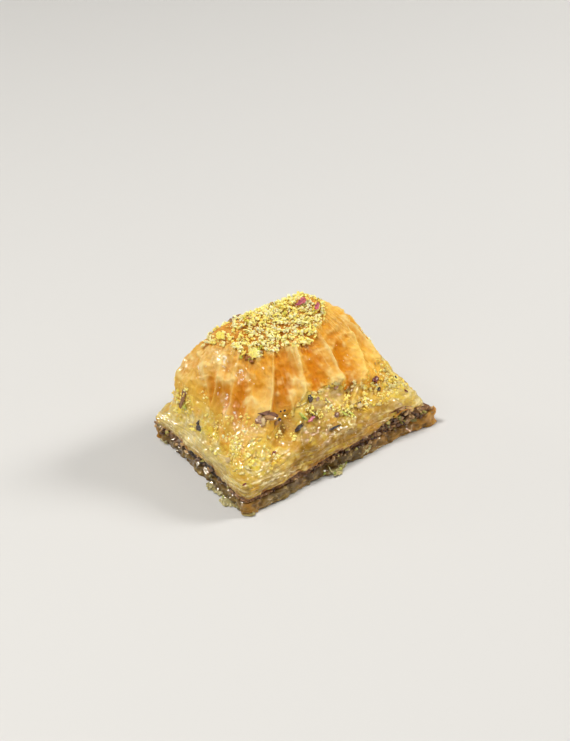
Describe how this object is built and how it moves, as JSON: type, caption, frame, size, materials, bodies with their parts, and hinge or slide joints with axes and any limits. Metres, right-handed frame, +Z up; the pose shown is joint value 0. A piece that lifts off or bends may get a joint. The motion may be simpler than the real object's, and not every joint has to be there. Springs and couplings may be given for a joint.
{
  "type": "baklava piece",
  "caption": "Cut piece of filo pastry with a nut seam, puffed pleated golden top, syrup glaze and ground pistachio on the crest.",
  "frame": {"origin": "middle of the cut outline on the flat underside", "axes": "+X along the long cut edge, +Y from the front cut to the back one, +Z up"},
  "size_m": [0.0672, 0.0497, 0.037],
  "materials": {
    "base_sheets": "wet, syrup-soaked filo sheets, glossy and slightly see-through",
    "nut_filling": "coarse chopped nuts bound with syrup, rough with wet glints",
    "top_sheets": "golden baked filo with a clear syrup glaze, crumbs of ground pistachio on top"
  },
  "bodies": {
    "root": {"base_sheets": "base_sheets", "nut_filling": "nut_filling", "top_sheets": "top_sheets"}
  },
  "joints": []
}
